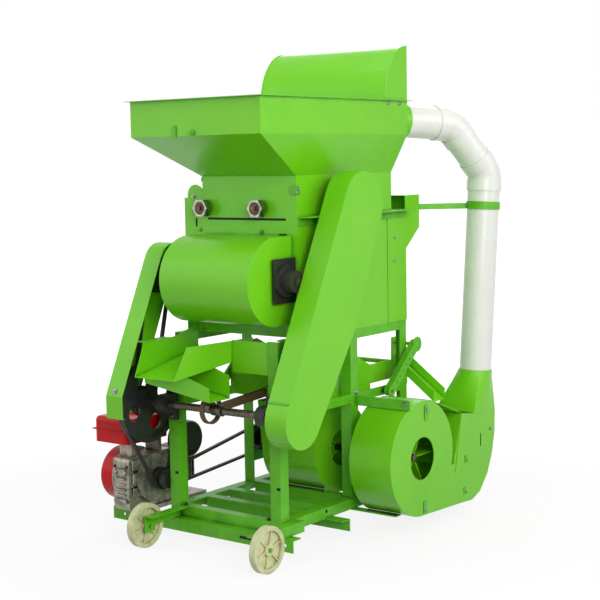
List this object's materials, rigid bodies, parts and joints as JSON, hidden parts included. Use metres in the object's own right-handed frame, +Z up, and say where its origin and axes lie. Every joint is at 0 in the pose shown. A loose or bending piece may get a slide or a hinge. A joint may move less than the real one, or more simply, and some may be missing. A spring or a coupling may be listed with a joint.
{
  "type": "groundnut sheller",
  "caption": "Engine-driven groundnut sheller: hopper over two belt-driven rotors, shaking deck, blower and return pipe on a wheeled angle frame.",
  "frame": {"origin": "on the floor under the middle of the whole machine", "axes": "+Z up, -Y towards the front with the discharge spout, +X towards the blower side"},
  "size_m": [0.9194, 1.2454, 1.576],
  "materials": {
    "green_paint": "glossy lime-green enamel",
    "red_paint": "glossy red enamel",
    "black_paint": "black satin paint, oily",
    "belt_rubber": "matte black rubber",
    "bare_steel": "turned steel with oil film",
    "cast_housing": "dark painted casting",
    "grey_alloy": "die-cast alloy, dull",
    "bright_nut": "bright plated",
    "white_pvc": "smooth white plastic pipe",
    "ivory_plastic": "ivory moulded plastic",
    "rod_wood": "oiled hardwood"
  },
  "bodies": {
    "frame": {"foot_rails": "green_paint", "base_rails": "green_paint", "posts": "green_paint", "upper_members": "green_paint", "side_panels": "green_paint", "front_panel": "green_paint", "bearing_shelf": "green_paint", "feed_box": "green_paint", "hopper": "green_paint", "hood": "green_paint", "upper_concave": "green_paint", "lower_concave": "green_paint", "rotor_cover": "green_paint", "rotor_bearings": "cast_housing", "pillow_blocks": "cast_housing", "belt_guard_right": "green_paint", "belt_guard_left": "green_paint", "stays": "green_paint", "drive_belts": "belt_rubber", "engine_block": "grey_alloy", "recoil_cover": "red_paint", "fuel_tank": "red_paint", "engine_muffler": "black_paint", "winnower_casing": "green_paint", "blower_casing": "green_paint", "scoop": "green_paint", "scoop_lid": "green_paint", "pipe_elbows": "white_pvc", "delivery_pipes": "white_pvc", "pipe_strap": "green_paint", "upper_chute": "green_paint", "discharge_spout": "green_paint", "guide_plates": "green_paint", "rear_box": "green_paint", "fixed_pins": "bare_steel", "wheel_brackets": "green_paint"},
    "crank": {"crank_pulley": "black_paint"},
    "countershaft_body": {"countershaft": "bare_steel", "countershaft_pulleys": "black_paint", "eccentric": "bare_steel"},
    "upper_rotor_body": {"upper_rotor": "bare_steel", "upper_pulley": "black_paint"},
    "lower_rotor_body": {"lower_rotor": "bare_steel", "lower_rotor_pulley": "black_paint"},
    "fan_rotor": {"fan_shaft": "bare_steel", "fan_pulley": "black_paint", "winnower_paddles": "green_paint", "blower_impeller": "green_paint"},
    "rocker_rear": {"rear_rockers": "green_paint"},
    "deck": {"shaker_deck": "green_paint", "connecting_rod": "rod_wood"},
    "rocker_front": {"front_rockers": "green_paint"},
    "gate": {"feed_gate": "green_paint"},
    "nut_left": {"hand_nut_left": "bright_nut"},
    "nut_right": {"hand_nut_right": "bright_nut"},
    "cap": {"fuel_cap": "black_paint"},
    "front_right_wheel": {"wheel_front_right": "ivory_plastic"},
    "front_left_wheel": {"wheel_front_left": "ivory_plastic"},
    "rear_right_wheel": {"wheel_rear_right": "ivory_plastic"},
    "rear_left_wheel": {"wheel_rear_left": "ivory_plastic"}
  },
  "joints": [
    {"name": "crank_spin", "type": "hinge", "parent": "frame", "child": "crank", "pos_m": [-0.26467, -0.40141, 0.184], "axis": [1, 0, 0], "continuous": true},
    {"name": "countershaft_spin", "type": "hinge", "parent": "frame", "child": "countershaft_body", "pos_m": [0.04033, -0.45141, 0.445], "axis": [1, 0, 0], "continuous": true},
    {"name": "upper_rotor_spin", "type": "hinge", "parent": "frame", "child": "upper_rotor_body", "pos_m": [0.04033, -0.11941, 1.073], "axis": [1, 0, 0], "continuous": true},
    {"name": "lower_rotor_spin", "type": "hinge", "parent": "frame", "child": "lower_rotor_body", "pos_m": [0.04033, -0.36141, 0.848], "axis": [1, 0, 0], "continuous": true},
    {"name": "fan_spin", "type": "hinge", "parent": "frame", "child": "fan_rotor", "pos_m": [0.04033, 0.08159, 0.242], "axis": [1, 0, 0], "continuous": true},
    {"name": "rear_rocker_swing", "type": "hinge", "parent": "frame", "child": "rocker_rear", "pos_m": [0.04033, 0.15659, 0.437], "axis": [1, 0, 0], "range_deg": [-3, 3]},
    {"name": "deck_swing", "type": "hinge", "parent": "rocker_rear", "child": "deck", "pos_m": [0.04033, 0.31659, 0.577], "axis": [1, 0, 0], "range_deg": [-3, 3]},
    {"name": "front_rocker_swing", "type": "hinge", "parent": "deck", "child": "rocker_front", "pos_m": [0.04033, -0.08141, 0.577], "axis": [1, 0, 0], "range_deg": [-3, 3]},
    {"name": "feed_gate_slide", "type": "slide", "parent": "frame", "child": "gate", "axis": [-1, 0, 0], "range_m": [0, 0.25]},
    {"name": "left_nut_turn", "type": "hinge", "parent": "frame", "child": "nut_left", "pos_m": [-0.12167, -0.32641, 1.065], "axis": [0, 1, 0], "range_deg": [0, 180]},
    {"name": "right_nut_turn", "type": "hinge", "parent": "frame", "child": "nut_right", "pos_m": [0.10333, -0.32641, 1.065], "axis": [0, 1, 0], "range_deg": [0, 180]},
    {"name": "fuel_cap_turn", "type": "hinge", "parent": "frame", "child": "cap", "pos_m": [-0.39967, -0.38141, 0.392], "axis": [0, 0, 1], "range_deg": [0, 90]},
    {"name": "front_right_wheel_spin", "type": "hinge", "parent": "frame", "child": "front_right_wheel", "pos_m": [0.29833, -0.55341, 0.071], "axis": [1, 0, 0], "continuous": true},
    {"name": "front_left_wheel_spin", "type": "hinge", "parent": "frame", "child": "front_left_wheel", "pos_m": [-0.19567, -0.55341, 0.071], "axis": [1, 0, 0], "continuous": true},
    {"name": "rear_right_wheel_spin", "type": "hinge", "parent": "frame", "child": "rear_right_wheel", "pos_m": [0.20433, 0.45159, 0.071], "axis": [1, 0, 0], "continuous": true},
    {"name": "rear_left_wheel_spin", "type": "hinge", "parent": "frame", "child": "rear_left_wheel", "pos_m": [-0.19567, 0.45159, 0.071], "axis": [1, 0, 0], "continuous": true}
  ],
  "couplings": [
    {"joint": "crank_spin", "follows": "countershaft_spin", "ratio": 3.5676},
    {"joint": "lower_rotor_spin", "follows": "countershaft_spin", "ratio": 0.86207},
    {"joint": "upper_rotor_spin", "follows": "countershaft_spin", "ratio": 0.625},
    {"joint": "fan_spin", "follows": "countershaft_spin", "ratio": 2.1405},
    {"joint": "deck_swing", "follows": "rear_rocker_swing", "ratio": -1},
    {"joint": "front_rocker_swing", "follows": "rear_rocker_swing", "ratio": 1}
  ]
}
